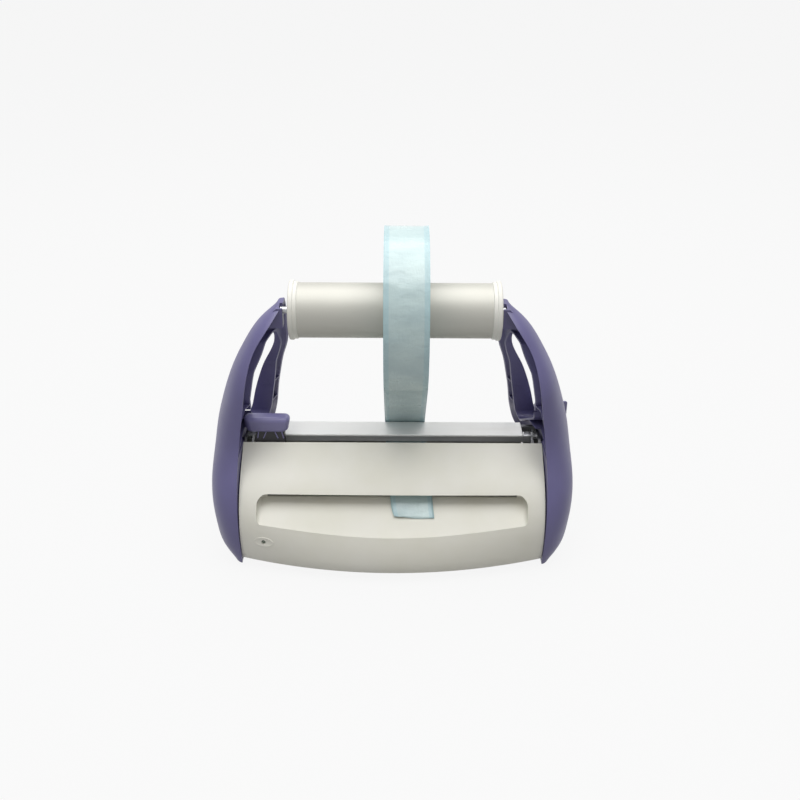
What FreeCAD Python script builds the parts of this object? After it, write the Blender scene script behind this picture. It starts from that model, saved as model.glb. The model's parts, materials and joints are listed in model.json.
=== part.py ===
import FreeCAD, Part

import math
import os
import re

from FreeCAD import Placement, Rotation, Vector

# Sterilisation pouch sealer with a reel holder and a sliding cutter.
# Millimetres. +X is the user's right, +Y is away from the user, +Z is up.
# The origin is on the table, under the middle of the sealer's bounding box.

SIZES = {
    # whole sealer
    "foot_height": (4.0, "rubber foot, table to base plate"),
    "foot_radius": (10.0, "rubber foot"),
    "plate_thick": (3.0, "base plate and side plates"),
    "base_front": (-80.0, "front edge of the base plate"),
    "base_rear": (114.0, "rear edge of the base plate"),
    "fit_gap": (0.2, "gap between parts that are screwed together"),
    "run_gap": (0.5, "gap beside a moving part"),
    # press cover
    "cover_half": (181.5, "half width of the front cover"),
    "cover_wall": (3.0, "wall of the front cover"),
    "cover_top_y": (-30.5, "rear top edge of the front cover"),
    "deck_height": (137.0, "top of the deck"),
    "cover_drop": (3.0, "top of the deck down to the top edge of the cover"),
    "lip_y": (-130.0, "foremost point of the cover"),
    "lip_height": (12.0, "bottom edge of the cover above the table"),
    "cover_bow": (30.0, "how far the lower edge of the cover bows forward"),
    # recess and ramp in the cover
    "recess_side": (20.5, "end of the cover to the finger recess"),
    "recess_half": ("=cover_half - recess_side", "half width of the finger recess"),
    "recess_drop": (41.0, "top of the deck down to the overhang"),
    "recess_top": ("=deck_height - recess_drop", "underside of the overhang"),
    "recess_back": (-74.0, "back of the recess"),
    "mouth_high": (12.0, "film mouth, overhang down to the ramp"),
    "ramp_top": ("=recess_top - mouth_high", "top edge of the ramp"),
    "ramp_slope": (32.0, "ramp below horizontal, degrees"),
    "recess_wall": (2.5, "wall of the recess and ramp"),
    "recess_radius": (12.0, "upper corners of the recess"),
    "ramp_radius": (5.0, "where the ramp meets the ends of the recess"),
    # press hinge
    "pivot_y": (0.0, "press hinge line"),
    "pivot_drop": (11.0, "top of the deck down to the press hinge line"),
    "pivot_z": ("=deck_height - pivot_drop", "press hinge line"),
    "pivot_radius": (4.0, "hinge pin"),
    "press_angle": (3.3, "travel of the cover, degrees"),
    "arm_side": (11.0, "press arms inside the side casings"),
    "arm_inner": ("=casing_inner - arm_side", "inner face of the press arms"),
    "arm_thick": (3.0, "press arm sheet"),
    # sealing jaws
    "jaw_y": (-50.0, "middle of the seal"),
    "jaw_drop": (34.5, "top of the deck down to the middle of the seal"),
    "jaw_z": ("=deck_height - jaw_drop", "middle of the seal"),
    "jaw_slope": (32.4, "pouch path through the jaws, degrees"),
    "seal_half": (140.0, "half length of the seal"),
    "seal_width": (12.0, "width of the heater bar"),
    "heater_deep": (9.0, "depth of the heater bar"),
    "element_thick": (0.5, "heating strip"),
    "tape_thick": (0.3, "non-stick tape"),
    "pad_thick": (2.0, "silicone pad"),
    "bar_thick": (6.0, "press bar"),
    "insulator_deep": (6.0, "insulating block under the heater bar"),
    "web_thick": (0.3, "pouch film, both layers"),
    "web_gap": (0.3, "film to what it passes"),
    # deck and cutter
    "deck_side": (22.0, "end of the deck plate to the side casing"),
    "deck_half": ("=casing_inner - deck_side", "half width of the deck plate"),
    "deck_front": (-16.5, "front edge of the deck plate"),
    "deck_depth": (32.0, "deck plate front to back"),
    "deck_thick": (3.0, "deck plate"),
    "rail_end": (1.5, "end of the cutter rail to the press arm"),
    "rail_half": ("=arm_inner - rail_end", "half length of the cutter rail"),
    "rail_width": (6.0, "cutter rail"),
    "rail_deep": (7.0, "cutter rail"),
    "park_side": (33.0, "middle of the parked cutter to the left casing"),
    "cutter_park": ("=park_side - casing_inner", "middle of the parked cutter"),
    "carriage_long": (35.0, "cutter carriage along the rail"),
    "knob_rise": (10.5, "top of the deck up to the cutter knob"),
    "knob_long": (57.5, "cutter knob"),
    "knob_deep": (20.0, "cutter knob"),
    "knob_high": (20.0, "cutter knob"),
    "blade_thick": (0.5, "cutter blade"),
    "blade_drop": (25.0, "top of the deck down to the tip of the blade"),
    "blade_tip_z": ("=deck_height - blade_drop", "lowest point of the blade"),
    # side casings
    "casing_inner": ("=cover_half + run_gap", "inner face of the side casings"),
    "casing_deep": (36.0, "side casing left to right"),
    "casing_half": ("=casing_inner + casing_deep", "widest point of the side casings"),
    "casing_wall": (3.0, "wall of the side casings"),
    "casing_front": (-107.0, "foremost point of the side casings"),
    "casing_rear": (125.0, "rearmost point of the side casings"),
    "casing_low": (5.0, "underside of the side casings"),
    "tip_lean": (54.5, "how far the arms lean in from foot to tip"),
    "tip_inner": ("=casing_inner - tip_lean", "inner face of the arm tips"),
    "tip_thick": (6.5, "arm tip left to right"),
    "tip_rise": (7.0, "arm tip above the axle"),
    # roller and reel
    "axle_y": (-6.0, "roller axle"),
    "axle_z": (298.4, "roller axle"),
    "axle_radius": (4.0, "roller axle"),
    "axle_seat": (3.0, "length of the axle in each arm tip"),
    "axle_half": ("=tip_inner + axle_seat", "half length of the roller axle"),
    "roller_x": (2.5, "middle of the roller, pushed to one side of its play"),
    "shaft_gap": (0.08, "running clearance on shafts, radial"),
    "tube_radius": (32.0, "roller tube"),
    "tube_wall": (1.5, "roller tube"),
    "roller_play": (3.1, "right end of the roller to the arm tip"),
    "tube_half": ("=tip_inner - roller_play - roller_x - cap_thick", "half length of the roller tube"),
    "cap_radius": (34.5, "roller end cap"),
    "cap_thick": (10.2, "roller end cap"),
    "core_gap": (0.6, "reel core on the roller tube"),
    "core_wall": (3.0, "cardboard reel core"),
    "reel_radius": (97.5, "pouch reel"),
    "reel_width": (50.0, "pouch reel"),
    "reel_x": (15.0, "middle of the reel"),
    # electrical parts
    "board_thick": (1.6, "circuit board"),
    "pod_proud": (5.0, "switch pod beyond the widest point of its casing"),
    "pod_outer": ("=casing_half + pod_proud", "outer face of the switch pod"),
    "pod_deep": (38.0, "switch pod left to right"),
    "rocker_rise": (2.5, "raised ends of the rocker"),
    "led_radius": (2.5, "status light"),
    "led_side": (28.5, "status light to the left end of the cover"),
    "led_x": ("=led_side - cover_half", "status light"),
    "led_z": (43.0, "status light"),
}

doc = FreeCAD.newDocument("PouchSealer")
sheet = doc.addObject("Spreadsheet::Sheet", "Sizes")
for row, (alias, (value, note)) in enumerate(SIZES.items(), start=1):
    sheet.set(f"A{row}", alias)
    sheet.set(f"C{row}", note)
    sheet.setAlias(f"B{row}", alias)
for row, (value, note) in enumerate(SIZES.values(), start=1):
    sheet.set(f"B{row}", str(value))
doc.recompute()


class Size:
    """Reads a driving dimension from the sheet by its name."""

    def __getattr__(self, alias):
        return float(sheet.get(alias))


size = Size()
X_AXIS = Vector(1, 0, 0)


def linked(text):
    """An expression on the sheet, written with the bare names of its cells."""
    return re.sub(r"[a-z_]{3,}", lambda word: f"Sizes.{word.group()}" if word.group() in SIZES else word.group(), text)


def bind(item, **expressions):
    for path, text in expressions.items():
        item.setExpression(path.replace("__", "."), linked(text))
    return item


def box(name, x, y, z):
    """A block between two expressions on each axis."""
    item = doc.addObject("Part::Box", name)
    spans = [(str(low), str(high)) for low, high in (x, y, z)]
    bind(item, **{prop: f"({high}) - ({low})" for prop, (low, high) in zip(("Length", "Width", "Height"), spans)})
    return bind(item, **{f"Placement__Base__{axis}": low for axis, (low, high) in zip("xyz", spans)})


def centred(middle, width):
    return f"{middle} - ({width}) / 2", f"{middle} + ({width}) / 2"


def rod(name, radius, x, y, z):
    """A round bar along X."""
    item = doc.addObject("Part::Cylinder", name)
    item.Placement = Placement(Vector(), Rotation(Vector(0, 1, 0), 90))
    low, high = map(str, x)
    return bind(item, Radius=str(radius), Height=f"({high}) - ({low})", Placement__Base__x=low,
                Placement__Base__y=str(y), Placement__Base__z=str(z))


def post(name, radius, x, y, z):
    """A round bar standing along Z."""
    item = doc.addObject("Part::Cylinder", name)
    low, high = map(str, z)
    return bind(item, Radius=str(radius), Height=f"({high}) - ({low})", Placement__Base__x=str(x),
                Placement__Base__y=str(y), Placement__Base__z=low)


def spindle(name, radius, x, y, z):
    """A round bar along Y."""
    item = doc.addObject("Part::Cylinder", name)
    item.Placement = Placement(Vector(), Rotation(X_AXIS, -90))
    low, high = map(str, y)
    return bind(item, Radius=str(radius), Height=f"({high}) - ({low})", Placement__Base__x=str(x),
                Placement__Base__y=low, Placement__Base__z=str(z))


def joined(name, *items):
    item = doc.addObject("Part::MultiFuse", name)
    item.Shapes = list(items)
    return item


def less(name, base, *tools):
    item = doc.addObject("Part::Cut", name)
    item.Base = base
    item.Tool = tools[0] if len(tools) == 1 else joined(name + "_cuts", *tools)
    return item


def grouped(name, *items):
    item = doc.addObject("Part::Compound", name)
    item.Links = list(items)
    return item


def rounded(item, radius, edges=None):
    """Fillets every edge of a part, or the numbered ones."""
    doc.recompute()
    fillet = doc.addObject("Part::Fillet", item.Name + "_round")
    fillet.Base = item
    fillet.Edges = [(n, radius, radius) for n in edges or range(1, len(item.Shape.Edges) + 1)]
    return fillet


def mirrored(name, item):
    other = doc.addObject("Part::Mirroring", name)
    other.Source = item
    other.Normal = X_AXIS
    return other


def solid(name, shape, placement=None):
    item = doc.addObject("Part::Feature", name)
    item.Shape = shape
    if placement:
        item.Placement = placement
    return item


nodes = {}


def node(name, item):
    item.Label = name
    nodes[name] = item
    return item


# Outlines in the side view

def curve_at(keys, z):
    """A smooth curve through (height, value) pairs, read at one height."""
    steps = [(b[1] - a[1]) / (b[0] - a[0]) for a, b in zip(keys, keys[1:])]
    slopes = [steps[0]] + [(a + b) / 2 for a, b in zip(steps, steps[1:])] + [steps[-1]]
    for (a, b), start, end in zip(zip(keys, keys[1:]), slopes, slopes[1:]):
        if z <= b[0] or b == keys[-1]:
            span = b[0] - a[0]
            t = (z - a[0]) / span
            return ((2 * t**3 - 3 * t**2 + 1) * a[1] + (t**3 - 2 * t**2 + t) * span * start
                    + (3 * t**2 - 2 * t**3) * b[1] + (t**3 - t**2) * span * end)


def round_outline(points, radius, x=0.0):
    """A closed side-view outline (y, z) with the same radius on every corner."""
    corners = [Vector(x, y, z) for y, z in points]
    edges = []
    arcs = []
    for before, corner, after in zip(corners[-1:] + corners, corners, corners[1:] + corners[:1]):
        back = (before - corner).normalize()
        ahead = (after - corner).normalize()
        half = back.getAngle(ahead) / 2
        reach = radius / math.tan(half)
        middle = corner + (back + ahead).normalize() * (radius / math.sin(half))
        inward = (corner - middle).normalize() * radius
        arcs.append((corner + back * reach, middle + inward, corner + ahead * reach))
    for (start, mid, end), following in zip(arcs, arcs[1:] + arcs[:1]):
        edges.append(Part.Arc(start, mid, end).toShape())
        edges.append(Part.makeLine(end, following[0]))
    return Part.Wire(edges)


def sheet_metal(points, radius, x0, x1):
    """A flat plate across X with a rounded side-view outline."""
    return Part.Face(round_outline(points, radius, x0)).extrude(Vector(x1 - x0, 0, 0))


def spline(points):
    curve = Part.BSplineCurve()
    curve.interpolate(points)
    return curve.toShape()


# Front cover: a bowed shell that narrows in height towards its top edge

COVER_FACE = [  # height, depth on the middle line, share of the bow lost at the ends
    (size.deck_height - size.cover_drop, size.cover_top_y, 0.0),
    (size.deck_height - 19, size.cover_top_y - 27.5, 0.03),
    (size.recess_top, size.recess_back - 14, 0.06),
    (size.recess_top - 22, size.lip_y + 23, 0.25),
    (size.lip_height + 40, size.lip_y + 9, 0.56),
    (size.lip_height + 18, size.lip_y + 1, 0.86),
    (size.lip_height + 6, size.lip_y, 0.97),
    (size.lip_height, size.lip_y + 1.5, 1.0),
]


def cover_face(x, inset=0.0):
    """Points down the front of the cover at one place across it."""
    bow = size.cover_bow * (x / size.cover_half) ** 2
    points = [Vector(x, y + bow * share, z) for z, y, share in COVER_FACE]
    if not inset:
        return points
    inner = []
    for n, point in enumerate(points):
        before = points[max(n - 1, 0)]
        after = points[min(n + 1, len(points) - 1)]
        inward = (after - before).cross(X_AXIS).normalize()
        inner.append(point + inward * inset * (1 if inward.y > 0 else -1))
    return inner


def cover_section(x, back=None):
    face = cover_face(x)
    if back is None:
        inner = cover_face(x, size.cover_wall)[::-1]
        edges = [spline(face), Part.makeLine(face[-1], inner[0]), spline(inner), Part.makeLine(inner[-1], face[0])]
    else:
        low = Vector(x, back, face[-1].z)
        high = Vector(x, back, face[0].z)
        edges = [spline(face), Part.makeLine(face[-1], low), Part.makeLine(low, high), Part.makeLine(high, face[0])]
    return Part.Wire(edges)


across_cover = (-size.cover_half, 0.0, size.cover_half)
cover_skin = Part.makeLoft([cover_section(x) for x in across_cover], True, False)
cover_block = Part.makeLoft([cover_section(x, size.cover_top_y + 2) for x in across_cover], True, False)


def recess_block(grow):
    """The recess as a wedge whose floor is the ramp, grown by a wall."""
    reach = size.lip_y - 35
    fall = math.tan(math.radians(size.ramp_slope))
    back = size.recess_back + grow
    floor = size.ramp_top - grow / math.cos(math.radians(size.ramp_slope))
    outline = [(reach, size.recess_top + grow), (back, size.recess_top + grow), (back, floor),
               (reach, floor - (size.recess_back - reach) * fall)]
    half = size.recess_half + grow
    corners = [Vector(-half, y, z) for y, z in outline]
    wedge = Part.Face(Part.makePolygon(corners + corners[:1])).extrude(Vector(2 * half, 0, 0))
    slopes = [edge for edge in wedge.Edges if edge.Length > 60 and abs(edge.CenterOfMass.x) > half - 1
              and edge.CenterOfMass.z < size.recess_top - 5]
    wedge = wedge.makeFillet(size.ramp_radius + grow, slopes)
    front = Part.makeBox(2 * half, 200, 300, Vector(-half, reach - 10, size.recess_top + grow - 300))
    top_corners = [edge for edge in front.Edges if abs(abs(edge.CenterOfMass.x) - half) < 1
                   and abs(edge.CenterOfMass.z - size.recess_top - grow) < 1]
    return wedge.common(front.makeFillet(size.recess_radius + grow, top_corners))


recess = recess_block(0.0)
mouth_half = size.recess_half - 11
mouth = Part.makeBox(2 * mouth_half, 20, size.recess_top - size.ramp_top,
                     Vector(-mouth_half, size.recess_back - 2, size.ramp_top))
liner = recess_block(size.recess_wall).common(cover_block).cut(recess).cut(mouth)
led_y = size.lip_y + 7 + size.cover_bow * 0.68 * (size.led_x / size.cover_half) ** 2
led_hole = Part.makeCylinder(size.led_radius + size.fit_gap, 40, Vector(size.led_x, led_y - 20, size.led_z),
                             Vector(0, 1, 0))

# The jaws close on the pouch path; the upper jaw is drawn closed and then opened.

jaw_turn = Rotation(X_AXIS, size.jaw_slope)
jaw_place = Placement(Vector(0, size.jaw_y, size.jaw_z), jaw_turn)
pivot = Vector(0, size.pivot_y, size.pivot_z)
open_place = Placement(Vector(), Rotation(X_AXIS, -size.press_angle), pivot)
film_top = size.web_thick / 2
pad_low = film_top + size.web_gap
bar_low = pad_low + size.pad_thick
bar_high = bar_low + size.bar_thick


def jaw_box(name, half, width, high, low, placement=jaw_place, shift=0.0):
    """A bar along X, level with the pouch path, between two heights above it."""
    item = doc.addObject("Part::Box", name)
    bind(item, Length=f"2 * ({half})", Width=str(width))
    item.Height = high - low
    half_value = float(item.Length)
    item.Placement = placement * Placement(Vector(-half_value, 0, 0), Rotation())
    doc.recompute()
    corner = Vector(-float(item.Length) / 2 + shift, -float(item.Width) / 2, low)
    item.Placement = placement * Placement(corner, Rotation())
    return item


upper = open_place * jaw_place
bosses = []
for boss_x in (-0.8, 0.0, 0.8):
    corner = Vector(boss_x * size.seal_half - 8, -6, bar_high)
    block = Part.makeBox(16, 12, 6)
    block.Placement = upper * Placement(corner, Rotation())
    bosses.append(block.common(cover_block))
cover_shape = cover_skin.cut(recess).fuse([liner] + bosses).cut(led_hole).removeSplitter()
front_cover = node("front_cover", solid("FrontCover", cover_shape))

node("press_bar", jaw_box("PressBar", "arm_inner - fit_gap", "seal_width + 2", bar_high, bar_low, upper))
node("silicone_pad", jaw_box("SiliconePad", "seal_half", "seal_width - 4", bar_low, pad_low, upper))

# Heater side of the jaws
tape_high = -film_top - size.web_gap
tape_low = tape_high - size.tape_thick
element_low = tape_low - size.element_thick
heater_low = element_low - size.heater_deep
block_low = heater_low - size.insulator_deep
tray_low = block_low - 2
node("non_stick_tape", jaw_box("NonStickTape", "seal_half + 2", "seal_width - 1", tape_high, tape_low))
node("heating_strip", jaw_box("HeatingStrip", "seal_half", "seal_width - 6", tape_low, element_low))
node("heater_bar", jaw_box("HeaterBar", "seal_half + 4", "seal_width", element_low, heater_low))
blocks = [jaw_box(f"Insulator{n}", "10", "seal_width + 4", heater_low, block_low, shift=place * size.seal_half)
          for n, place in enumerate((-0.85, 0.0, 0.85))]
node("insulating_blocks", grouped("InsulatingBlocks", *blocks))
node("heater_tray", jaw_box("HeaterTray", "casing_inner - plate_thick - fit_gap * 2", "seal_width + 8",
                            block_low, tray_low))
thermostat = Part.makeCylinder(7, size.insulator_deep - 0.5, Vector(55, 0, heater_low), Vector(0, 0, -1))
thermostat.Placement = jaw_place * thermostat.Placement
node("thermostat", solid("Thermostat", thermostat))

# Press arms hang on the hinge pins and carry the press bar and the cover.

arm_points = [(8, 8), (-6, -8), (-42, -25.5), (-62, -36), (-65, -27), (-40, -11)]
arm_outline = [(size.pivot_y + y, size.pivot_z + z) for y, z in arm_points]
arm = sheet_metal(arm_outline, 2.5, size.arm_inner, size.arm_inner + size.arm_thick)
hub = Part.makeCylinder(size.pivot_radius + 4, size.arm_thick,
                        Vector(size.arm_inner, size.pivot_y, size.pivot_z), X_AXIS)
pin_hole = Part.makeCylinder(size.pivot_radius + size.shaft_gap, 10,
                             Vector(size.arm_inner - 2, size.pivot_y, size.pivot_z), X_AXIS)
arm_shape = arm.fuse(hub).cut(pin_hole).removeSplitter()
arm_shape.Placement = open_place
right_arm = node("right_press_arm", solid("RightPressArm", arm_shape))
node("left_press_arm", mirrored("LeftPressArm", right_arm))

# Base, side plates and feet

plate_outer = "casing_inner - fit_gap"
base_top = "foot_height + plate_thick"
node("base_plate", box("BasePlate", (f"-({plate_outer})", plate_outer), ("base_front", "base_rear"),
                       ("foot_height", base_top)))
feet = [post(f"Foot{n}", "foot_radius", f"{side} * (casing_inner - 30)", place, ("0", "foot_height"))
        for n, (side, place) in enumerate([(side, place) for side in (-1, 1)
                                           for place in ("base_front + 20", "base_rear - 22")])]
node("rubber_feet", grouped("RubberFeet", *feet))

side_low = size.foot_height + size.plate_thick
rear = size.base_rear
SCREW_PLACES = ((-60, 42), (80, 42), (42, size.deck_height - 45))
plate_points = [(size.base_front + 2, side_low), (size.base_front - 8, side_low + 45),
                (size.recess_back - 2, size.recess_top - 6), (size.cover_top_y - 8, size.deck_height - 20),
                (size.deck_front - 1, size.deck_height - 4.5), (size.deck_front + 37, size.deck_height - 4.5),
                (rear - 52, size.deck_height - 42), (rear - 4, side_low + 52), (rear, side_low)]
plate_right = size.casing_inner - size.fit_gap
plate_shape = sheet_metal(plate_points, 3.0, plate_right - size.plate_thick, plate_right)
bores = [Part.makeCylinder(radius, 10, Vector(plate_right - 6, y, z), X_AXIS) for radius, y, z in (
    (size.pivot_radius, size.pivot_y, size.pivot_z), *((2.2, y, z) for y, z in SCREW_PLACES))]
right_plate = node("right_side_plate", solid("RightSidePlate", plate_shape.cut(bores[0].multiFuse(bores[1:]))))
node("left_side_plate", mirrored("LeftSidePlate", right_plate))

pin = rod("RightPin", "pivot_radius", ("arm_inner - 8", "casing_inner - fit_gap"), "pivot_y", "pivot_z")
washer = rod("RightPinHead", "pivot_radius + 2", ("arm_inner - 9.5", "arm_inner - 8"), "pivot_y", "pivot_z")
right_pin = joined("RightHingePin", pin, washer)
node("hinge_pins", grouped("HingePins", right_pin, mirrored("LeftHingePin", right_pin)))

coil = Part.makeTorus(size.pivot_radius + 1.6, 0.8, Vector(size.arm_inner - 6.5, size.pivot_y, size.pivot_z), X_AXIS)
turns = [coil.translated(Vector(1.5 * n, 0, 0)) for n in range(1, 4)]
spring = solid("RightSpring", coil.multiFuse(turns))
node("return_springs", grouped("ReturnSprings", spring, mirrored("LeftSpring", spring)))

# Deck plate, its brackets and the cutter rail

deck_rear = "deck_front + deck_depth"
deck_low = "deck_height - deck_thick"
node("deck_plate", rounded(box("DeckPlate", ("-deck_half", "deck_half"), ("deck_front", deck_rear),
                               (deck_low, "deck_height")), 1.2))
bracket = box("RightBracket", ("deck_half - 14", "casing_inner - fit_gap - plate_thick"),
              (f"{deck_rear} - 5", f"{deck_rear} - 1"), (f"{deck_low} - 16", deck_low))
node("deck_brackets", grouped("DeckBrackets", bracket, mirrored("LeftBracket", bracket)))
rail_front = "deck_front + 1"
rail_rear = "deck_front + 1 + rail_width"
rail_low = f"{deck_low} - rail_deep"
node("cutter_rail", box("CutterRail", ("-rail_half", "rail_half"), (rail_front, rail_rear), (rail_low, deck_low)))

# Cutter: a carriage round the rail, a knob above it and a blade through the pouch path

slot_middle = "(cover_top_y + deck_front) / 2"
carriage_x = centred("cutter_park", "carriage_long")
neck = box("CarriageNeck", carriage_x, ("cover_top_y + 2", "deck_front - run_gap"),
           (f"{rail_low} - 2.5", "deck_height + knob_rise"))
hook = box("CarriageHook", carriage_x, ("cover_top_y + 2", f"{rail_rear} + run_gap + 2"),
           (f"{rail_low} - 2.5", f"{rail_low} - 0.3"))
catch = box("CarriageCatch", carriage_x, (f"{rail_rear} + 0.3", f"{rail_rear} + run_gap + 2"),
            (f"{rail_low} - 2.5", f"{deck_low} - 0.5"))
node("cutter_carriage", joined("CutterCarriage", neck, hook, catch))
knob = box("KnobBlock", centred("cutter_park - 3", "knob_long"), centred(slot_middle, "knob_deep"),
           ("deck_height + knob_rise", "deck_height + knob_rise + knob_high"))
node("cutter_knob", rounded(knob, 5.5))
blade_y = size.cover_top_y + 5.0
carriage_low = size.deck_height - size.deck_thick - size.rail_deep - 2.5
park = size.cutter_park
blade_corners = [(park - 8, size.blade_tip_z + 6), (park + 6, size.blade_tip_z), (park + 11, size.blade_tip_z + 8),
                 (park + 11, carriage_low), (park - 8, carriage_low)]
outline = [Vector(x, blade_y, z) for x, z in blade_corners]
blade_shape = Part.Face(Part.makePolygon(outline + outline[:1])).extrude(Vector(0, size.blade_thick, 0))
node("cutter_blade", solid("CutterBlade", blade_shape))

# Side casings: lofted hollow arms, open towards the middle of the sealer

tip_z = size.axle_z + size.tip_rise
arm_foot_z = size.deck_height + 3


def arm_height(share):
    """A height on the arm, as a share of the way from the deck to the tip."""
    return size.deck_height + share * (tip_z - size.deck_height)


CASING_FRONT = [(size.casing_low, size.casing_front + 6), (30, size.casing_front + 1), (57, size.casing_front),
                (size.recess_top, size.casing_front + 11), (size.deck_height - 9, size.casing_front + 31),
                (size.deck_height + 28, size.casing_front + 41), (size.axle_z - 81, size.casing_front + 46),
                (size.axle_z - 39, size.axle_y - 37), (size.axle_z - 1, size.axle_y - 12), (tip_z, size.axle_y + 3)]
CASING_REAR = [(size.casing_low, size.casing_rear - 9), (45, size.casing_rear), (90, size.casing_rear - 9),
               (size.deck_height - 2, size.casing_rear - 45), (size.deck_height + 53, size.casing_rear - 71),
               (size.axle_z - 56, size.axle_y + 42), (size.axle_z - 6, size.axle_y + 31), (tip_z, size.axle_y + 20)]
CASING_TOE = [(size.casing_low, 0.0), (50, 0.0), (75, 15), (108, 26), (size.deck_height, 31),
              (size.deck_height + 45, 32.5), (size.deck_height + 76, 35), (size.axle_z - 55, 37.5),
              (size.axle_z - 39, 32), (size.axle_z - 11, 14), (tip_z, 0.0)]
CASING_INNER = [(size.casing_low, size.casing_inner), (arm_foot_z - 5, size.casing_inner),
                (arm_foot_z + 30, size.casing_inner - 4), (arm_height(0.3663), size.casing_inner - 8.5),
                (arm_height(0.5523), size.casing_inner - 13.2), (size.axle_z - 39, size.casing_inner - 22),
                (size.axle_z - 11, size.tip_inner + 14), (tip_z, size.tip_inner)]
CASING_THICK = [  # height, share of the casing's depth
    (size.casing_low, 0.4167), (21, 0.75), (50, 0.9167), (size.recess_top - 1, 1.0), (size.deck_height, 0.9167),
    (arm_height(0.1977), 0.867), (arm_height(0.3895), 0.747), (arm_height(0.5814), 0.561),
    (size.axle_z - 33, 0.411), (size.axle_z - 11, 0.397), (tip_z, size.tip_thick / size.casing_deep)]
CASING_OUTER = [(z, curve_at(CASING_INNER, z) + share * size.casing_deep) for z, share in CASING_THICK]


def casing_section(z, wall=0.0, past=0.0):
    """A horizontal slice of the right casing, inset by its wall and drawn out past its open face."""
    front = curve_at(CASING_FRONT, z) + wall
    back = curve_at(CASING_REAR, z) - wall
    inner = curve_at(CASING_INNER, z)
    thick = curve_at(CASING_OUTER, z) - wall - inner
    deep = back - front
    knee_y = max(-30.0, front + 0.25 * deep)
    rear_x = inner - curve_at(CASING_TOE, z)
    rear_thick = thick * 0.97
    front_round = min(48.0, 0.42 * deep)
    rear_round = min(26.0, 0.25 * deep)
    points = []
    for angle in (0, 30, 60, 90):
        turn = math.radians(angle)
        points.append(Vector(inner + thick * math.sin(turn), front + front_round * (1 - math.cos(turn)), z))
    side_end = Vector(rear_x + rear_thick, back - rear_round, z)
    side_start = points[-1]
    for share in (1 / 3, 2 / 3):
        bulge = Vector(0.05 * thick * math.sin(math.pi * share), 0, 0)
        points.append(side_start + (side_end - side_start) * share + bulge)
    for angle in (90, 60, 30, 0):
        turn = math.radians(angle)
        points.append(Vector(rear_x + rear_thick * math.sin(turn), back - rear_round * (1 - math.cos(turn)), z))
    skin = Part.BSplineCurve()
    skin.interpolate(Points=points, Parameters=[0, 0.09, 0.2, 0.32, 0.47, 0.62, 0.78, 0.88, 0.95, 1.0])
    corners = [points[-1]]
    if past:
        corners += [point - X_AXIS * past for point in (points[-1], Vector(inner, knee_y, z), points[0])]
    else:
        corners.append(Vector(inner, knee_y, z))
    corners.append(points[0])
    return Part.Wire([skin.toShape()] + [Part.makeLine(a, b) for a, b in zip(corners, corners[1:])])


MIDDLE_LEVELS = [45, 75, 105, size.deck_height - 2] + [arm_height(share) for share in
                                                       (0.1628, 0.3372, 0.4826, 0.6279, 0.7442)]
LEVELS = [size.casing_low, 14, 26] + MIDDLE_LEVELS + [tip_z - 27, tip_z - 15, tip_z - 6, tip_z]
HOLLOW_LEVELS = [size.casing_low + 4, 16, 27] + MIDDLE_LEVELS + [tip_z - 29, tip_z - 20, tip_z - 14, tip_z - 9]
casing_solid = Part.makeLoft([casing_section(z) for z in LEVELS], True, False)
casing_hollow = Part.makeLoft([casing_section(z, size.casing_wall, 40.0) for z in HOLLOW_LEVELS], True, False)

WINDOW = [(-7, size.deck_height + 20), (65, size.deck_height - 25), (45, size.deck_height + 37),
          (28, size.deck_height + 78), (21, size.axle_z - 53), (10, size.axle_z - 31), (-5, size.axle_z - 42),
          (-18, size.axle_z - 75), (-19, size.deck_height + 50)]
inside_x = size.tip_inner - 27.5
window_wire = round_outline(WINDOW, 7.0, inside_x)
through = Vector(size.casing_half - inside_x + 2, 0, 0)
window = Part.Face(window_wire).extrude(through)
window_wall = Part.Face(window_wire.makeOffset2D(2.5)).extrude(through).common(casing_solid)
ribs = [Part.makeBox(through.x, 300, 1.8, Vector(inside_x, -150, z)).common(casing_solid)
        for z in (size.deck_height + 6, size.deck_height + 41, size.axle_z - 19)]
lip_side = [(size.lip_y - 30, size.casing_low), (size.lip_y - 30, size.deck_height)]
lip_side += [(y + size.cover_bow * share + 6, z) for z, y, share in COVER_FACE]
lip_corners = [Vector(size.casing_inner, y, z) for y, z in lip_side]
inner_lip = Part.Face(Part.makePolygon(lip_corners + lip_corners[:1])).extrude(X_AXIS * 2).common(casing_solid)
pillars = [Part.makeCylinder(5, 60, Vector(size.casing_inner, y, z), X_AXIS).common(casing_solid)
           for y, z in SCREW_PLACES]
cradle_wall = 3.0
cradle_side = [(0.4, -20.0), (28.0, -20.0), (14.0, -2.0), (7.5, 4.0), (0.4, 4.0)]
cradle_points = [Vector(size.tip_inner + x, size.axle_y - size.axle_radius - cradle_wall, size.axle_z + z)
                 for x, z in cradle_side]
cradle = Part.Face(Part.makePolygon(cradle_points + cradle_points[:1])).extrude(
    Vector(0, 2 * (size.axle_radius + cradle_wall), 0))
slot_radius = size.axle_radius + size.shaft_gap
slot_long = size.axle_half - size.tip_inner + 1
slot_seat = Part.makeCylinder(slot_radius, slot_long + 10, Vector(size.tip_inner - 10, size.axle_y, size.axle_z), X_AXIS)
slot_way = Part.makeBox(slot_long + 10, 2 * slot_radius, 60,
                        Vector(size.tip_inner - 10, size.axle_y - slot_radius, size.axle_z))
screw_ways = [Part.makeCylinder(1.6, 14, Vector(size.casing_inner - 1, y, z), X_AXIS) for y, z in SCREW_PLACES]
pod_y = 63.0
pod_z = size.deck_height - 27
rocker_wide = 13.4
rocker_high = 19.4
rocker_hole = Part.makeBox(30, rocker_wide, rocker_high,
                           Vector(size.pod_outer - 25, pod_y - rocker_wide / 2, pod_z - rocker_high / 2))
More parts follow.
